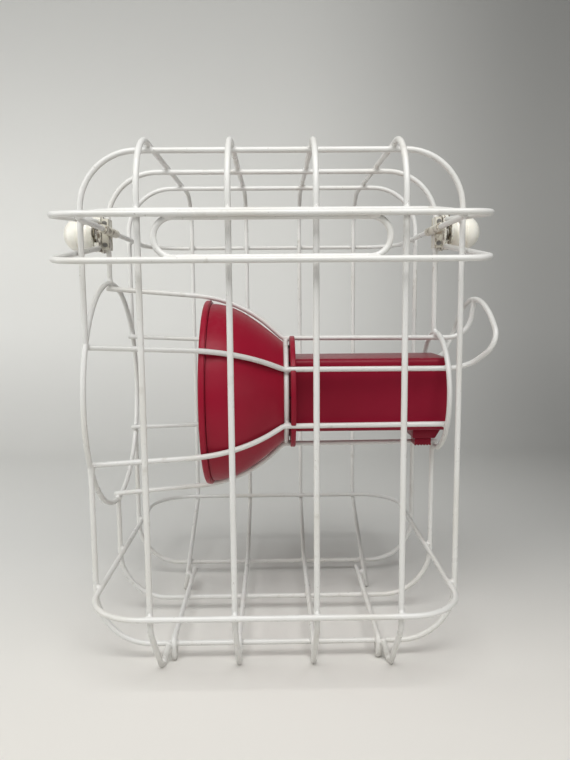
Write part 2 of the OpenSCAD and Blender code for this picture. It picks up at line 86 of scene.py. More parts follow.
# Camera: in front of the middle and a little below the handle, turned down by 7 degrees. The distance is
# from the lamp's axis, angles are in radians and the lens is in millimetres.
CAMERA_X = 1.2 * MM
CAMERA_DISTANCE = 0.6747
CAMERA_HEIGHT = 0.3283
CAMERA_PITCH = 0.119
CAMERA_YAW = 0.015
CAMERA_ROLL = -0.008
CAMERA_LENS = 31.3


# --- materials ---------------------------------------------------------------------------------------------

class Surface:
    """A Principled material, with short calls for the nodes that drive it."""

    def __init__(self, name, **sockets):
        self.material = bpy.data.materials.new(name)
        self.material.use_nodes = True
        self.nodes = self.material.node_tree.nodes
        self.shader = self.nodes["Principled BSDF"]
        self.place = self.nodes.new("ShaderNodeTexCoord").outputs["Object"]
        for socket, value in sockets.items():
            self.shader.inputs[socket.replace("_", " ")].default_value = value

    def link(self, source, socket):
        self.material.node_tree.links.new(source, socket)

    def stretched(self, scale):
        """Object coordinates scaled by three factors."""
        mapping = self.nodes.new("ShaderNodeMapping")
        mapping.inputs["Scale"].default_value = scale
        self.link(self.place, mapping.inputs["Vector"])
        return mapping.outputs["Vector"]

    def noise(self, scale, detail=3.0, place=None):
        node = self.nodes.new("ShaderNodeTexNoise")
        node.inputs["Scale"].default_value = scale
        node.inputs["Detail"].default_value = detail
        self.link(place or self.place, node.inputs["Vector"])
        return node.outputs["Fac"]

    def remap(self, value, low, high, to_low=0.0, to_high=1.0):
        """The value's stretch from low to high, mapped smoothly and clamped."""
        node = self.nodes.new("ShaderNodeMapRange")
        node.interpolation_type = "SMOOTHSTEP"
        for socket, number in zip(("From Min", "From Max", "To Min", "To Max"), (low, high, to_low, to_high)):
            node.inputs[socket].default_value = number
        self.link(value, node.inputs["Value"])
        return node.outputs["Result"]

    def math(self, operation, a, b=None):
        node = self.nodes.new("ShaderNodeMath")
        node.operation = operation
        for socket, value in zip(node.inputs, (a, b)):
            if isinstance(value, (int, float)):
                socket.default_value = value
            elif value is not None:
                self.link(value, socket)
        return node.outputs["Value"]

    def axis(self, letter, source=None):
        """One coordinate of the place, or of another vector."""
        node = self.nodes.new("ShaderNodeSeparateXYZ")
        self.link(source or self.place, node.inputs["Vector"])
        return node.outputs[letter]

    def normal_z(self):
        """How far the surface faces up, from -1 to 1."""
        return self.axis("Z", self.nodes.new("ShaderNodeNewGeometry").outputs["Normal"])

    def mix(self, factor, a, b):
        """Colour a, turning into b as the factor goes to 1."""
        node = self.nodes.new("ShaderNodeMix")
        node.data_type = "RGBA"
        self.link(factor, node.inputs["Factor"])
        for socket, colour in zip((node.inputs[6], node.inputs[7]), (a, b)):
            if isinstance(colour, tuple):
                socket.default_value = (*colour, 1.0)
            else:
                self.link(colour, socket)
        return node.outputs[2]

    def colour(self, source):
        self.link(source, self.shader.inputs["Base Color"])

    def roughness(self, source):
        self.link(source, self.shader.inputs["Roughness"])

    def bumps(self, *layers):
        """Height layers of (source, depth in metres), one on the other."""
        below = None
        for source, depth in layers:
            node = self.nodes.new("ShaderNodeBump")
            node.inputs["Strength"].default_value = 1.0
            node.inputs["Distance"].default_value = depth
            self.link(source, node.inputs["Height"])
            if below is not None:
                self.link(below, node.inputs["Normal"])
            below = node.outputs["Normal"]
        self.link(below, self.shader.inputs["Normal"])


def coated_wire():
    """White dipped vinyl on steel wire: aged patches, handling grime, pinholes and a rippled skin."""
    s = Surface("coated_wire", IOR=1.5, Coat_Weight=0.12, Coat_Roughness=0.3)
    aged = s.remap(s.noise(11.0), 0.42, 0.72)
    grime_spots = s.remap(s.noise(95.0, 5.0), 0.58, 0.74)
    grime = s.math("MULTIPLY", grime_spots, s.remap(s.noise(17.0), 0.45, 0.65, 0.05, 0.5))
    pinhole = s.remap(s.noise(420.0, 2.0), 0.735, 0.76, 0.0, 0.55)
    foot_dust = s.math("MULTIPLY", s.remap(s.axis("Z"), 0.0, 0.022, 0.5, 0.0), s.noise(260.0))
    tone = s.mix(aged, (0.75, 0.75, 0.73), (0.71, 0.70, 0.66))
    tone = s.mix(grime, tone, (0.46, 0.43, 0.37))
    tone = s.mix(foot_dust, tone, (0.34, 0.30, 0.25))
    s.colour(s.mix(pinhole, tone, (0.28, 0.24, 0.19)))
    s.roughness(s.remap(s.noise(70.0), 0.3, 0.7, 0.27, 0.46))
    s.bumps((s.noise(75.0, 1.0), 0.25 * MM), (s.noise(520.0, 2.0), 0.035 * MM))
    return s.material


def ivory_plastic():
    """Moulded ivory plastic, a little translucent, with brown streaks on the plates and the knobs' feet."""
    s = Surface("ivory_plastic", IOR=1.49, Subsurface_Weight=0.06, Subsurface_Radius=(0.004, 0.003, 0.002))
    reach = s.math("ABSOLUTE", s.axis("X"))
    seam = s.remap(reach, KNOB_X - 1.0 * MM, KNOB_X + 2.2 * MM, 0.9, 0.0)
    streak = s.remap(s.noise(190.0, 5.0, s.stretched((2.0, 1.0, 1.0))), 0.45, 0.60)
    grime = s.math("MULTIPLY", seam, streak)
    aged = s.remap(s.noise(35.0), 0.4, 0.7)
    tone = s.mix(aged, (0.87, 0.86, 0.79), (0.84, 0.81, 0.71))
    s.colour(s.mix(grime, tone, (0.10, 0.065, 0.035)))
    s.roughness(s.remap(s.noise(110.0), 0.3, 0.7, 0.24, 0.38))
    s.bumps((s.noise(90.0, 1.0), 0.06 * MM), (s.noise(900.0, 2.0), 0.01 * MM))
    return s.material


def hub_plastic():
    """The same plastic on the clamp blocks: yellowed, with dirt in patches."""
    s = Surface("hub_plastic", IOR=1.49)
    dirt = s.remap(s.noise(150.0, 6.0), 0.50, 0.66, 0.0, 0.8)
    tone = s.mix(s.noise(40.0), (0.64, 0.61, 0.51), (0.74, 0.72, 0.64))
    s.colour(s.mix(dirt, tone, (0.17, 0.12, 0.07)))
    s.roughness(s.remap(s.noise(150.0), 0.3, 0.7, 0.36, 0.55))
    s.bumps((s.noise(240.0, 3.0), 0.06 * MM))
    return s.material


def red_plastic():
    """Satin crimson shell, deeper on the case than on the bell: fine scuffs, and dust on what faces up."""
    s = Surface("red_plastic", IOR=1.45, Specular_IOR_Level=0.24)
    # The red turns deeper from the neck ring towards the case
    towards_case = s.remap(s.axis("X"), RING_HIGH[0], RING_HIGH[0] + 12 * MM)
    cloud = s.remap(s.noise(14.0), 0.35, 0.65)
    bell = s.mix(cloud, (0.325, 0.0085, 0.0300), (0.290, 0.0070, 0.0250))
    tone = s.mix(towards_case, bell, s.mix(cloud, (0.250, 0.0068, 0.0255), (0.225, 0.0058, 0.0215)))
    facing_up = s.remap(s.normal_z(), 0.55, 1.0, 0.0, 0.14)
    dust = s.math("MULTIPLY", facing_up, s.remap(s.noise(210.0, 5.0), 0.35, 0.7))
    s.colour(s.mix(dust, tone, (0.36, 0.16, 0.17)))
    scuff = s.noise(180.0, 6.0, s.stretched((1.0, 3.0, 3.0)))
    s.roughness(s.remap(scuff, 0.3, 0.75, 0.30, 0.40))
    s.bumps((s.noise(45.0, 1.0), 0.07 * MM), (s.noise(700.0, 2.0), 0.006 * MM))
    return s.material


def plated_steel():
    """Dull zinc plating with darker, slightly rusty blooms."""
    s = Surface("zinc_steel", Metallic=1.0)
    bloom = s.remap(s.noise(210.0, 5.0), 0.5, 0.7)
    s.colour(s.mix(bloom, (0.34, 0.33, 0.31), (0.12, 0.085, 0.055)))
    s.roughness(s.remap(s.noise(330.0), 0.3, 0.7, 0.28, 0.55))
    s.bumps((s.noise(600.0, 3.0), 0.03 * MM))
    return s.material


def hub_steel():
    """Steel in the gap behind the knobs: zinc gone dull, under patches of brown dirt."""
    s = Surface("hub_steel", Metallic=0.35)
    dirt = s.remap(s.noise(230.0, 5.0), 0.46, 0.58)
    s.colour(s.mix(dirt, (0.42, 0.38, 0.29), (0.070, 0.042, 0.020)))
    s.roughness(s.remap(s.noise(330.0), 0.3, 0.7, 0.5, 0.72))
    s.bumps((s.noise(420.0, 3.0), 0.05 * MM))
    return s.material


def blackened_screw():
    """Oil-blackened screw steel, worn brighter in spots."""
    s = Surface("blackened_screw", Metallic=0.8)
    s.colour(s.mix(s.remap(s.noise(500.0), 0.55, 0.75), (0.012, 0.011, 0.011), (0.11, 0.10, 0.09)))
    s.roughness(s.remap(s.noise(330.0), 0.3, 0.7, 0.35, 0.55))
    s.bumps((s.noise(900.0, 2.0), 0.02 * MM))
    return s.material


def reflector_metal():
    """Vacuum-metallised bowl with a faint spun ripple."""
    s = Surface("mirror_reflector", Metallic=1.0)
    s.colour(s.mix(s.noise(25.0), (0.90, 0.90, 0.91), (0.84, 0.84, 0.86)))
    s.roughness(s.remap(s.noise(90.0, 4.0), 0.3, 0.7, 0.05, 0.13))
    ripple = s.nodes.new("ShaderNodeTexWave")
    ripple.bands_direction = "X"
    ripple.inputs["Scale"].default_value = 160.0
    s.link(s.place, ripple.inputs["Vector"])
    s.bumps((ripple.outputs["Fac"], 0.01 * MM))
    return s.material


def clear_lens():
    """Clear lens with a thin film of dust that dulls it in patches."""
    s = Surface("clear_lens", IOR=1.5, Transmission_Weight=1.0)
    s.colour(s.mix(s.remap(s.noise(60.0), 0.4, 0.7), (0.97, 0.98, 0.98), (0.93, 0.94, 0.93)))
    s.roughness(s.remap(s.noise(120.0, 5.0), 0.4, 0.7, 0.01, 0.10))
    s.bumps((s.noise(30.0, 1.0), 0.02 * MM))
    return s.material


def bulb_glass():
    """Thin bulb glass with faint brown smoke in patches."""
    s = Surface("bulb_glass", IOR=1.35, Transmission_Weight=1.0)
    s.colour(s.mix(s.remap(s.noise(200.0), 0.4, 0.7), (0.99, 0.97, 0.90), (0.80, 0.74, 0.62)))
    s.roughness(s.remap(s.noise(300.0), 0.4, 0.7, 0.0, 0.06))
    s.bumps((s.noise(120.0, 1.0), 0.01 * MM))
    return s.material


def grained(name, light, dark, scale, rough, metallic=0.0, stretch=(1.0, 1.0, 1.0)):
    """A plain material with grain in its colour, gloss and height."""
    s = Surface(name, Metallic=metallic)
    grain = s.noise(scale, 5.0, s.stretched(stretch))
    s.colour(s.mix(s.remap(grain, 0.3, 0.7), light, dark))
    s.roughness(s.remap(grain, 0.3, 0.7, rough, rough + 0.15))
    s.bumps((grain, 0.04 * MM))
    return s.material


def seamless_paper():
    """Pale studio paper, faintly mottled, with painted shade: it is greyer to the right, high up and low down
    behind the object where it rises. It is also greyer towards its front end."""
    s = Surface("studio_paper", IOR=1.3)
    far = s.remap(s.axis("Y"), -0.3, 0.25)
    # Painted shade: the paper's colour darkens to the right, high up and low down behind the object
    right = s.remap(s.axis("X"), 0.0, 0.765, 1.0, 0.56)
    high = s.remap(s.axis("Z"), 0.445, 1.185, 1.0, 0.8)
    low = s.remap(s.axis("Z"), 0.0, 0.29, 0.84, 1.0)
    shade = s.math("MULTIPLY", s.math("MULTIPLY", right, high), low)
    wall = s.mix(shade, (0.0, 0.0, 0.0), (0.87, 0.87, 0.845))
    middle = s.remap(s.axis("Y"), -1.1, -0.35)
    floor = s.mix(s.noise(3.0), (0.77, 0.752, 0.712), (0.79, 0.77, 0.73))
    floor = s.mix(middle, (0.42, 0.41, 0.39), floor)
    s.colour(s.mix(far, floor, wall))
    s.roughness(s.remap(s.noise(300.0), 0.3, 0.7, 0.75, 0.9))
    s.bumps((s.noise(700.0), 0.02 * MM))
    return s.material


COATING = coated_wire()
IVORY = ivory_plastic()
HUB = hub_plastic()
RED = red_plastic()
STEEL = plated_steel()
GAP_STEEL = hub_steel()
NODE_MATERIALS = {
    "hub_clamp": HUB,
    "clamp_screws": STEEL,
    "hub_plate": IVORY,
    "knob": IVORY,
    "pivot_stud": GAP_STEEL,
    "hub_washer": GAP_STEEL,
    "bell": RED,
    "lamp": RED,
    "switch": RED,
    "lens_gasket": grained("black_rubber", (0.022, 0.022, 0.023), (0.012, 0.012, 0.012), 300.0, 0.55),
    "lens": clear_lens(),
    "reflector": reflector_metal(),
    "bulb_holder": grained("black_plastic", (0.03, 0.03, 0.032), (0.018, 0.018, 0.02), 260.0, 0.35),
    "bulb": bulb_glass(),
    "contact_plate": grained("phenolic_board", (0.24, 0.12, 0.05), (0.15, 0.07, 0.03), 90.0, 0.4,
                             stretch=(1.0, 6.0, 1.0)),
    "flange_screws": blackened_screw(),
    "battery_springs": grained("brass_contact", (0.72, 0.50, 0.20), (0.55, 0.36, 0.13), 280.0, 0.25,
                               metallic=1.0),
    "battery": grained("battery_jacket", (0.035, 0.05, 0.10), (0.02, 0.028, 0.06), 60.0, 0.3),
}


def material_of(node):
    """The longest name that the node starts with decides, and wires are coated."""
    matches = [key for key in NODE_MATERIALS if node.startswith(key)]
    return NODE_MATERIALS[max(matches, key=len)] if matches else COATING


def dress_nodes():
    """Gives every CAD node its material."""
    for name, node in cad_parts.items():
        node.data.materials.clear()
        node.data.materials.append(material_of(name))


# --- mesh helpers ------------------------------------------------------------------------------------------

def new_piece(name, vertices, faces, material, body, slot, sharp_angle=35.0):
    """Mesh object that rides on a body, smooth except across sharp edges."""
    mesh = bpy.data.meshes.new(name)
    mesh.from_pydata([tuple(v) for v in vertices], [], faces)
    tidy = bmesh.new()
    tidy.from_mesh(mesh)
    bmesh.ops.remove_doubles(tidy, verts=tidy.verts, dist=0.001 * MM)
    bmesh.ops.recalc_face_normals(tidy, faces=tidy.faces)
    tidy.to_mesh(mesh)
    tidy.free()
    mesh.polygons.foreach_set("use_smooth", [True] * len(mesh.polygons))
    mesh.set_sharp_from_angle(angle=math.radians(sharp_angle))
    mesh.materials.append(material)
    piece = bpy.data.objects.new(name, mesh)
    bpy.context.scene.collection.objects.link(piece)
    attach(piece, body)
    return piece


def rounded(outline, steps=5):
    """Closed outline with a curve at each corner that carries a radius: (a, b) or (a, b, radius)."""
    points = []
    for i, corner in enumerate(outline):
        here = Vector(corner[:2])
        if len(corner) < 3:
            points.append(here)
            continue
        start = here + (Vector(outline[i - 1][:2]) - here).normalized() * corner[2]
        end = here + (Vector(outline[(i + 1) % len(outline)][:2]) - here).normalized() * corner[2]
        for step in range(steps + 1):
            t = step / steps
            points.append((1 - t) ** 2 * start + 2 * t * (1 - t) * here + t * t * end)
    return points


def turned(outline, axis_y, axis_z, segments):
    """Vertices and faces of a closed outline of (radius, x) turned about a line along X."""
    count = len(outline)
    vertices = []
    for i in range(segments):
        angle = math.tau * i / segments
        vertices += [(x, axis_y + r * math.cos(angle), axis_z + r * math.sin(angle)) for r, x in outline]
    faces = []
    for i in range(segments):
        for j in range(count):
            here, after = i * count, (i + 1) % segments * count
            faces.append((here + j, here + (j + 1) % count, after + (j + 1) % count, after + j))
    return vertices, faces


def cubic(points, t):
    """Point of a cubic curve with four control points, at t from 0 to 1."""
    a, b, c, d = (Vector(p) for p in points)
    return (1 - t) ** 3 * a + 3 * (1 - t) ** 2 * t * b + 3 * (1 - t) * t * t * c + t ** 3 * d


# --- welds and wire ends -----------------------------------------------------------------------------------

class Wire:
    """A wire node's triangles, swollen slightly so that welded neighbours overlap."""

    def __init__(self, node, swell=0.12 * MM):
        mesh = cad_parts[node].data
        mesh.calc_loop_triangles()
        self.points = [v.co + v.normal * swell for v in mesh.vertices]
        self.triangles = [tuple(t.vertices) for t in mesh.loop_triangles]
        self.tree = BVHTree.FromPolygons(self.points, self.triangles)
        self.low, self.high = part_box(node)

    def corners(self, index):
        """The three points of a triangle."""
        return [self.points[i] for i in self.triangles[index]]

    def near_box(self, other):
        """True where the two wires' boxes overlap."""
        return all(self.low[k] < other.high[k] and other.low[k] < self.high[k] for k in range(3))

    def axis_at(self, point, reach=4.5 * MM):
        """A point on the wire's axis near the given point, and the axis's direction."""
        sides = {}
        for place, normal, _, _ in self.tree.find_nearest_range(point, reach):
            sides[tuple(round(c, 2) for c in normal)] = place - normal * WIRE_R
        normals = np.array(list(sides))
        _, vectors = np.linalg.eigh(normals.T @ normals)
        direction = Vector(vectors[:, 0])
        middle = sum(sides.values(), Vector()) / len(sides)
        return middle + direction * (point - middle).dot(direction), direction.normalized()

    def holds(self, point):
        """True where the point lies deep inside the wire."""
        place, normal, _, distance = self.tree.find_nearest(point)
        return (point - place).dot(normal) < 0 and distance > 0.6 * WIRE_R


def edge_hits(edges_of, target):
    """Where the edges of one triangle pass through another."""
    hits = []
    for k in range(3):
        start, end = edges_of[k], edges_of[(k + 1) % 3]
        hit = intersect_ray_tri(*target, end - start, start, True)
        if hit and (hit - start).length <= (end - start).length:
            hits.append(hit)
    return hits


def contacts(one, other, spacing=7 * MM):
    """Middles of the places where two wires touch."""
    groups = []
    for i, j in one.tree.overlap(other.tree):
        a, b = one.corners(i), other.corners(j)
        for hit in edge_hits(a, b) + edge_hits(b, a):
            home = next((g for g in groups if (g[0] - hit).length < spacing), None)
            if home is None:
                groups.append([hit])
            else:
                home.append(hit)
    return [sum(g, Vector()) / len(g) for g in groups]


def line_distance(places, start, direction, low, high):
    """Distance of each place from a stretch of a line."""
    along = np.clip((places - start) @ direction, low, high)
    return np.linalg.norm(places - start - along[:, None] * direction, axis=1)


def fillet(one, other, point, reach=5.2 * MM, blend=2.6 * MM, coat=0.09 * MM, thinning=2.2, steps=26):
    """Vertices of the coating that pools round a weld: a ball shrunk onto both wires' smooth union. The coat
    thins outwards until it lies below the wires' skin."""
    lines = []
    for wire in (one, other):
        middle, direction = wire.axis_at(point)
        ends = [-reach if wire.holds(middle - direction * reach) else 0.0,
                reach if wire.holds(middle + direction * reach) else 0.0]
        lines.append((np.array(middle), np.array(direction), *ends))
    centre = np.array(point)
    share = np.ones(len(BALL))
    moving = np.ones(len(BALL), bool)
    for step in range(1, steps + 1):
        part = step / steps
        places = centre + BALL * reach * part
        a, b = (line_distance(places, *line) - WIRE_R for line in lines)
        pool = np.maximum(blend - np.abs(a - b), 0.0) / blend
        outside = np.minimum(a, b) - pool * pool * blend / 4 - coat * (1.0 - thinning * part * part) > 0
        share[moving & outside] = part - 0.5 / steps
        moving &= ~outside
    return centre + BALL * (reach * share)[:, None]


def unit_ball(subdivisions=3):
    """Vertices and faces of an icosphere of radius 1."""
    ball = bmesh.new()
    bmesh.ops.create_icosphere(ball, subdivisions=subdivisions, radius=1.0)
    vertices = np.array([v.co for v in ball.verts])
    faces = [tuple(v.index for v in f.verts) for f in ball.faces]
    ball.free()
    return vertices, faces


BALL, BALL_FACES = unit_ball()


def weld_points(one, other, parallel=0.8, pitch=34 * MM):
    """Where two wires are welded. Wires that run side by side touch all along, and get a weld every pitch."""
    points = []
    for point in contacts(one, other):
        along = abs(one.axis_at(point)[1].dot(other.axis_at(point)[1]))
        spacing = pitch if along > parallel else 0.0
        if all((point - p).length >= spacing for p in points):
            points.append(point)
    return points


def weld_beads(name, nodes, body):
    """One mesh with a pool of coating at every weld between the given wires, kept inside the CAD's box."""
    wires = [Wire(n) for n in nodes]
    vertices, faces = [], []
    for i, one in enumerate(wires):
        for other in filter(one.near_box, wires[i + 1:]):
            for point in weld_points(one, other):
                base = len(vertices)
                vertices += list(np.clip(fillet(one, other, point), *CAD_BOX))
                faces += [tuple(base + k for k in f) for f in BALL_FACES]
    new_piece(name, vertices, faces, COATING, body, "coated_wire", 180.0)


def flat_ends(wire, plane_step=0.2 * MM, area_error=0.25, width_error=1.25):
    """Middle and outward direction of each flat end disc of a wire: triangles in one plane, a disc's size."""
    discs = {}
    for index in range(len(wire.triangles)):
        a, b, c = wire.corners(index)
        across = (b - a).cross(c - a)
        if across.length == 0:
            continue
        normal = across.normalized()
        key = tuple(round(v, 2) for v in normal) + (round(normal.dot(a) / plane_step),)
        discs.setdefault(key, []).append((a, b, c, across.length / 2, normal))
    full = math.pi * WIRE_R ** 2
    for faces in discs.values():
        area = sum(f[3] for f in faces)
        middle = sum(((f[0] + f[1] + f[2]) / 3 * f[3] for f in faces), Vector()) / area
        widest = max((p - middle).length for f in faces for p in f[:3])
        if abs(area - full) < area_error * full and widest < width_error * WIRE_R:
            yield middle, faces[0][4]


def end_dome(middle, out, height=1.7 * MM, rings=6, around=28):
    """Vertices and faces of a dipped wire end: a low dome with a slight roll round its foot."""
    side = out.orthogonal().normalized()
    up = out.cross(side)
    roll_r = WIRE_R * 1.04
    profile = [(WIRE_R * 0.98, -0.8 * MM), (roll_r, -0.45 * MM)]
    profile += [(roll_r * math.cos(a), height * math.sin(a))
                for a in (math.pi / 2 * k / rings for k in range(rings + 1))]
    vertices = []
    for r, rise in profile:
        for k in range(around):
            angle = math.tau * k / around
            vertices.append(middle + out * rise + (side * math.cos(angle) + up * math.sin(angle)) * r)
    faces = []
    for ring in range(len(profile) - 1):
        for k in range(around):
            a, b = ring * around + k, ring * around + (k + 1) % around
            faces.append((a, b, b + around, a + around))
    return vertices, faces


def wire_ends(name, nodes, body, past=1.2 * MM, room=2.2 * MM):
    """Domes on the wire ends that stay in the open, with no other wire's skin near a point just past them."""
    wires = {n: Wire(n, 0.0) for n in nodes}
    vertices, faces = [], []
    for own, wire in wires.items():
        for middle, out in flat_ends(wire):
            tip = middle + out * past
            if any(w.tree.find_nearest(tip)[3] < room for n, w in wires.items() if n != own):
                continue
            dome, dome_faces = end_dome(middle, out)
            base = len(vertices)
            vertices += dome
            faces += [tuple(base + k for k in f) for f in dome_faces]
    new_piece(name, vertices, faces, COATING, body, "coated_wire", 180.0)


# --- the lamp ----------------------------------------------------------------------------------------------

def bezel_outline():
    """Ring of (radius, x) round the lens: a rounded front lip, and a step that the shell butts against."""
    low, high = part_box("bell_rim")
    rim_r, rim_x = high[2] - AXIS_Z, low[0]
    back_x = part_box("bell_shell")[0][0]
    lip_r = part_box("lens")[1][2] - AXIS_Z - 4 * MM
    seat_r, seat_x = lip_r + 5 * MM, rim_x + 1.5 * MM
    step_r, gap_x = rim_r - 1.6 * MM, back_x - 0.7 * MM
    return rounded([
        (lip_r, rim_x, 0.5 * MM), (rim_r - 0.6 * MM, rim_x, 1.6 * MM), (rim_r, rim_x + 3 * MM, 1.2 * MM),
        (rim_r, gap_x, 0.5 * MM), (step_r, gap_x, 0.3 * MM), (step_r, back_x), (seat_r, back_x),
        (seat_r, seat_x), (lip_r, seat_x, 0.3 * MM)])


def shell_outline():
    """Wall of (radius, x) that sweeps in from the mouth to the neck, and ends in a spigot with a lip."""
    low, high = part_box("bell_shell")
    mouth_r, mouth_x, end_x = high[2] - AXIS_Z, low[0], high[0]
    neck_r, neck_x = 51 * MM, RING_LOW[0] - 0.1 * MM
    wall, edge = 2 * MM, 1.4 * MM
    sweep = [(mouth_r, mouth_x + 0.6 * MM), (mouth_r, mouth_x + 24 * MM),
             (mouth_r * 0.811, neck_x - 26.4 * MM), (neck_r, neck_x)]
    outer = [cubic(sweep, k / 40) for k in range(41)]
    inner = [p - Vector((wall, 0)) for p in reversed(outer) if p[1] < neck_x - 2 * wall]
    spigot_r, lip, lip_x = 43 * MM, 1.8 * MM, end_x - 0.8 * MM
    spigot = [(spigot_r, neck_x), (spigot_r, lip_x), (spigot_r + lip, lip_x), (spigot_r + lip, end_x),
              (spigot_r - wall, end_x), (spigot_r - wall, neck_x - wall)]
    ends = Vector((mouth_r - edge, mouth_x)), Vector((mouth_r - wall - edge, mouth_x))
    return [ends[0], *outer, *(Vector(p) for p in spigot), *inner, ends[1]]


def bell_pieces():
    """The bell: a bezel round the lens, and a shell behind it."""
    for name, outline, node in (("lamp_bezel", bezel_outline(), "bell_rim"),
                                ("lamp_bell", shell_outline(), "bell_shell")):
        piece = new_piece(name, *turned(outline, AXIS_Y, AXIS_Z, 168), RED, "cage", "red_plastic")
        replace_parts(piece, node)


def solid_piece(name, shape, material, body, slot):
    """Piece made from a finished bmesh."""
    vertices = [v.co.copy() for v in shape.verts]
    shape.verts.index_update()
    faces = [tuple(v.index for v in f.verts) for f in shape.faces]
    shape.free()
    return new_piece(name, vertices, faces, material, body, slot)


def soften(shape, radius, segments=3, least_angle=35.0):
    """Rounds the sharp edges of a bmesh."""
    bmesh.ops.recalc_face_normals(shape, faces=shape.faces)
    edges = [e for e in shape.edges if len(e.link_faces) == 2
             and e.calc_face_angle(0.0) > math.radians(least_angle)]
    bmesh.ops.bevel(shape, geom=edges, offset=radius, segments=segments, profile=0.5, affect="EDGES",
                    clamp_overlap=True)


def slab(outline, low_y, high_y, radius):
    """Bmesh of an outline of (x, z) points drawn out along Y, with softened edges."""
    shape = bmesh.new()
    face = shape.faces.new([shape.verts.new((x, low_y, z)) for x, z in outline])
    grown = bmesh.ops.extrude_face_region(shape, geom=[face])["geom"]
    top = [v for v in grown if isinstance(v, bmesh.types.BMVert)]
    bmesh.ops.translate(shape, verts=top, vec=(0.0, high_y - low_y, 0.0))
    soften(shape, radius)
    return shape


def rounded_square(half, radius, around=10):
    """Corner-rounded square outline of (y, z) points about the origin."""
    points = []
    for corner in range(4):
        middle = math.pi / 4 + corner * math.pi / 2
        centre = (half - radius) * math.sqrt(2)
        for k in range(around + 1):
            a = middle - math.pi / 4 + math.pi / 2 * k / around
            points.append((centre * math.cos(middle) + radius * math.cos(a),
                           centre * math.sin(middle) + radius * math.sin(a)))
    return points


def case_piece():
    """Square battery case: drawn corners, a rolled rear edge and a shallow step round the rear panel."""
    low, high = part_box("lamp_case")
    half = (high[2] - low[2]) / 2
    corner_r, least_r, roll = 5 * MM, 1.5 * MM, 2.6 * MM
    panel, slant, depth, flat = 7 * MM, 0.6 * MM, 0.8 * MM, 20 * MM
    stations = [(low[0], 0.0), (high[0] - roll, 0.0)]
    stations += [(high[0] - roll + roll * math.sin(a), roll * (1 - math.cos(a)))
                 for a in (math.pi / 2 * k / 6 for k in range(1, 7))]
    stations += [(high[0], panel), (high[0] - depth, panel + slant), (high[0] - depth, flat)]
    vertices, faces = [], []
    for x, inset in stations:
        ring = rounded_square(half - inset, max(corner_r - inset, least_r))
        vertices += [(x, AXIS_Y + y, AXIS_Z + z) for y, z in ring]
    count = len(ring)
    for i in range(len(stations) - 1):
        for j in range(count):
            here, after = i * count, (i + 1) * count
            faces.append((here + j, here + (j + 1) % count, after + (j + 1) % count, after + j))
    faces.append(tuple(range(len(vertices) - count, len(vertices))))
    faces.append(tuple(range(count)))
    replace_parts(new_piece("lamp_case_shell", vertices, faces, RED, "cage", "red_plastic"), "lamp_case")


def notched_circle(rim_r, wire_at, notch_r, notches=6, notch_steps=12, rim_steps=20):
    """Outline of (y, z) points about the origin: a circle with a round notch at each wire's place."""
    mouth = math.acos((wire_at ** 2 + notch_r ** 2 - rim_r ** 2) / (2 * wire_at * notch_r))
    opening = math.asin(notch_r * math.sin(mouth) / rim_r)
    pitch = math.tau / notches
    outline = []
    for notch in range(notches):
        middle = pitch * (notch + 0.5)
        out = Vector((math.cos(middle), math.sin(middle)))
        across = Vector((-out[1], out[0]))
        for k in range(notch_steps + 1):
            t = mouth * (2 * k / notch_steps - 1)
            outline.append(out * (wire_at - notch_r * math.cos(t)) + across * notch_r * math.sin(t))
        for k in range(1, rim_steps):
            a = middle + opening + (pitch - 2 * opening) * k / rim_steps
            outline.append(Vector((math.cos(a), math.sin(a))) * rim_r)
    return outline


def flange_piece():
    """Round flange with a softened rim, notched where the six cradle wires pass."""
    low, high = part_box("lamp_flange")
    wire_at, notch_r, bore_r, softening = 54.85 * MM, 3 * MM, 24.1 * MM, 0.9 * MM
    outline = notched_circle(high[1] - AXIS_Y, wire_at, notch_r)
    bore = [p.normalized() * bore_r for p in outline]
    shape = bmesh.new()
    loops = [[shape.verts.new((x, AXIS_Y + p[0], AXIS_Z + p[1])) for p in ring]
             for x in (low[0], high[0]) for ring in (outline, bore)]
    for a, b in ((0, 1), (2, 3), (0, 2), (1, 3)):
        for k in range(len(outline)):
            j = (k + 1) % len(outline)
            shape.faces.new((loops[a][k], loops[a][j], loops[b][j], loops[b][k]))
    bmesh.ops.recalc_face_normals(shape, faces=shape.faces)
    # The edges round each face of the flange, not those across its thickness
    rims = [e for e in shape.edges if len(e.link_faces) == 2 and e.calc_face_angle(0.0) > 1.2
            and abs(e.verts[0].co.x - e.verts[1].co.x) < 0.001 * MM]
    bmesh.ops.bevel(shape, geom=rims, offset=softening, segments=3, profile=0.5, affect="EDGES")
    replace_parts(solid_piece("lamp_flange_plate", shape, RED, "cage", "red_plastic"), "lamp_flange")


def switch_pieces():
    """The switch: a sloped track block, and a slider with thumb ribs that rides on its own body."""
    low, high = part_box("switch_base")
    slope = 6 * MM
    track = [(low[0], high[2]), (low[0], low[2]), (high[0] - slope, low[2]), (high[0], high[2])]
    base = slab(track, low[1], high[1], 0.9 * MM)
    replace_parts(solid_piece("switch_track", base, RED, "cage", "red_plastic"), "switch_base")
    low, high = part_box("switch_slider")
    ribs, depth, flank = 5, 0.8 * MM, 0.2 * MM
    thumb = [(low[0], high[2]), (low[0], low[2])]
    pitch = (high[0] - low[0]) / (2 * ribs + 1)
    for k in range(1, 2 * ribs + 1):
        before, after = (0.0, depth) if k % 2 else (depth, 0.0)
        x = low[0] + k * pitch
        thumb += [(x - flank, low[2] + before), (x + flank, low[2] + after)]
    thumb += [(high[0], low[2]), (high[0], high[2])]
    grip = slab(thumb, low[1], high[1], 0.25 * MM)
    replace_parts(solid_piece("switch_thumb", grip, RED, "slider", "red_plastic"), "switch_slider")


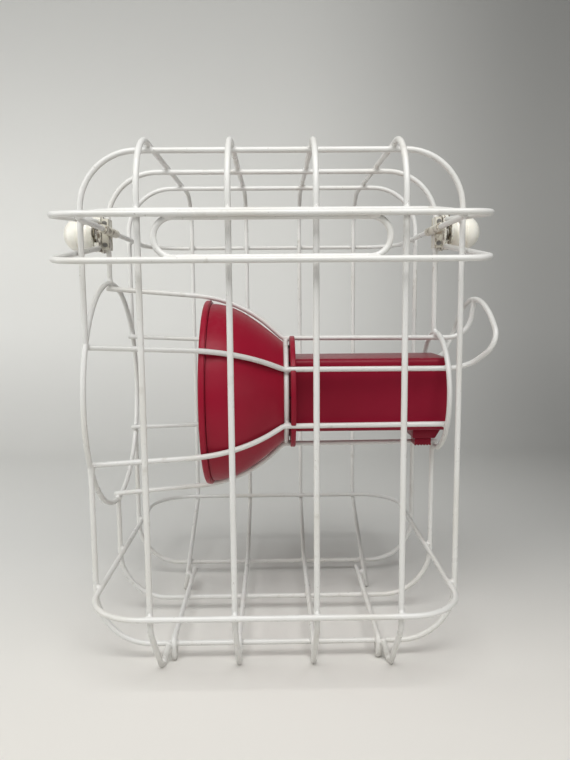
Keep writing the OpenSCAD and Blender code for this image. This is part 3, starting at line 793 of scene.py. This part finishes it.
def knob_outline(r, length):
    """Half section of (radius, distance out): narrow skirt, flare, straight band, fine groove, round dome."""
    dome, groove, skirt_r = 15 * MM, 0.35 * MM, r - 3.5 * MM
    shoulder = length - dome
    corner = 0.1 * MM
    outline = [(0.0, 0.0), (skirt_r, 0.0, 0.4 * MM), (skirt_r, 1.2 * MM, 0.2 * MM), (r, 5 * MM, 1.2 * MM),
               (r, shoulder - 1.2 * MM, corner), (r - groove, shoulder - 0.9 * MM, corner),
               (r - groove, shoulder - 0.6 * MM, corner), (r, shoulder - 0.3 * MM, corner)]
    arc = (math.pi / 2 * k / 24 for k in range(25))
    return rounded(outline, 3) + [(r * math.cos(a), shoulder + dome * math.sin(a)) for a in arc]


def knob_piece(side, name):
    """Domed clamp knob. The side is 1 where it points to +X, and -1 where it points the other way."""
    low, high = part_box(name)
    pivot_y, pivot_z = (low[1] + high[1]) / 2, (low[2] + high[2]) / 2
    inner = high[0] if side < 0 else low[0]
    outline = knob_outline((high[2] - low[2]) / 2, high[0] - low[0])
    placed = [(radius, inner + side * out) for radius, out in outline]
    piece = new_piece(name + "_dome", *turned(placed, pivot_y, pivot_z, 72), IVORY, name, "ivory_plastic")
    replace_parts(piece, name)


# --- the stage ---------------------------------------------------------------------------------------------

def cyclorama():
    """Seamless paper: a floor that sweeps up into a wall, beyond the reach of a view from behind."""
    front, foot, radius, top, half = -2.2, 0.7, 0.45, 2.8, 2.6
    profile = [(front, 0.0)]
    profile += [(foot + radius * math.sin(a), radius - radius * math.cos(a))
                for a in (math.pi / 2 * k / 24 for k in range(25))]
    profile.append((foot + radius, top))
    vertices = [(side * half, y, z) for side in (-1, 1) for y, z in profile]
    count = len(profile)
    faces = [(k, k + 1, count + k + 1, count + k) for k in range(count - 1)]
    mesh = bpy.data.meshes.new("studio_sweep")
    mesh.from_pydata(vertices, [], faces)
    mesh.polygons.foreach_set("use_smooth", [True] * len(mesh.polygons))
    mesh.materials.append(seamless_paper())
    sweep = bpy.data.objects.new("studio_sweep", mesh)
    bpy.context.scene.collection.objects.link(sweep)
    sweep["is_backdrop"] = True


def soft_light(name, place, target, size, power, colour):
    """Area light at a place, facing the target. The camera doesn't see it."""
    data = bpy.data.lights.new(name, "AREA")
    data.shape = "RECTANGLE"
    data.size, data.size_y = size
    data.energy = power
    data.color = colour
    light = bpy.data.objects.new(name, data)
    light.location = place
    light.visible_camera = False
    light.rotation_euler = (Vector(target) - Vector(place)).to_track_quat("-Z", "Y").to_euler()
    bpy.context.scene.collection.objects.link(light)


def studio():
    """Paper, five soft lights and a little light from all round."""
    cyclorama()
    soft_light("overhead", (0.0, -0.85, 1.45), (0.0, -0.1, 0.15), (1.5, 0.9), 22.3, (1.0, 0.995, 0.98))
    soft_light("window", (-1.35, -0.1, 0.6), (-0.45, 1.15, 0.45), (0.8, 0.9), 6.5, (1.0, 0.995, 0.975))
    soft_light("left_key", (-1.2, -0.9, 0.8), (0.0, -0.1, 0.3), (0.7, 0.7), 2.8, (1.0, 1.0, 0.99))
    soft_light("front_low", (0.4, -2.1, 1.0), (0.0, 0.0, 0.25), (2.0, 0.6), 4.0, (0.99, 0.995, 1.0))
    soft_light("right_low", (1.3, -0.9, 0.5), (0.15, 0.0, 0.35), (0.6, 0.8), 2.0, (1.0, 0.995, 0.98))
    world = bpy.data.worlds.new("studio_air")
    world.use_nodes = True
    air = world.node_tree.nodes["Background"]
    air.inputs["Color"].default_value = (0.86, 0.88, 0.90, 1.0)
    air.inputs["Strength"].default_value = 0.05
    bpy.context.scene.world = world
    bpy.context.scene.view_settings.view_transform = "Standard"


def camera():
    """Camera at the photograph's angle."""
    data = bpy.data.cameras.new("camera")
    data.lens = CAMERA_LENS
    data.clip_start = 0.01
    eye = bpy.data.objects.new("camera", data)
    turn = Matrix.Rotation(-CAMERA_YAW, 4, "Z") @ Matrix.Rotation(math.pi / 2 - CAMERA_PITCH, 4, "X")
    turn = turn @ Matrix.Rotation(CAMERA_ROLL, 4, "Z")
    eye.matrix_world = Matrix.Translation((CAMERA_X, AXIS_Y - CAMERA_DISTANCE, CAMERA_HEIGHT)) @ turn
    bpy.context.scene.collection.objects.link(eye)
    bpy.context.scene.camera = eye


def write_sizes():
    """Works out the box of the CAD and of the finished model."""
    boxes = {"cad": CAD_BOX, "visual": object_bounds()}
    {name: [[float(c) for c in corner] for corner in box] for name, box in boxes.items()}


camera()
studio()
dress_nodes()
bell_pieces()
flange_piece()
case_piece()
switch_pieces()
knob_piece(-1, "knob_left")
knob_piece(1, "knob_right")
weld_beads("cage_welds", CAGE_WIRES, "cage")
weld_beads("handle_welds", HANDLE_WIRES, "handle")
# The handle's wires have no open end
wire_ends("cage_wire_ends", CAGE_WIRES, "cage")
write_sizes()
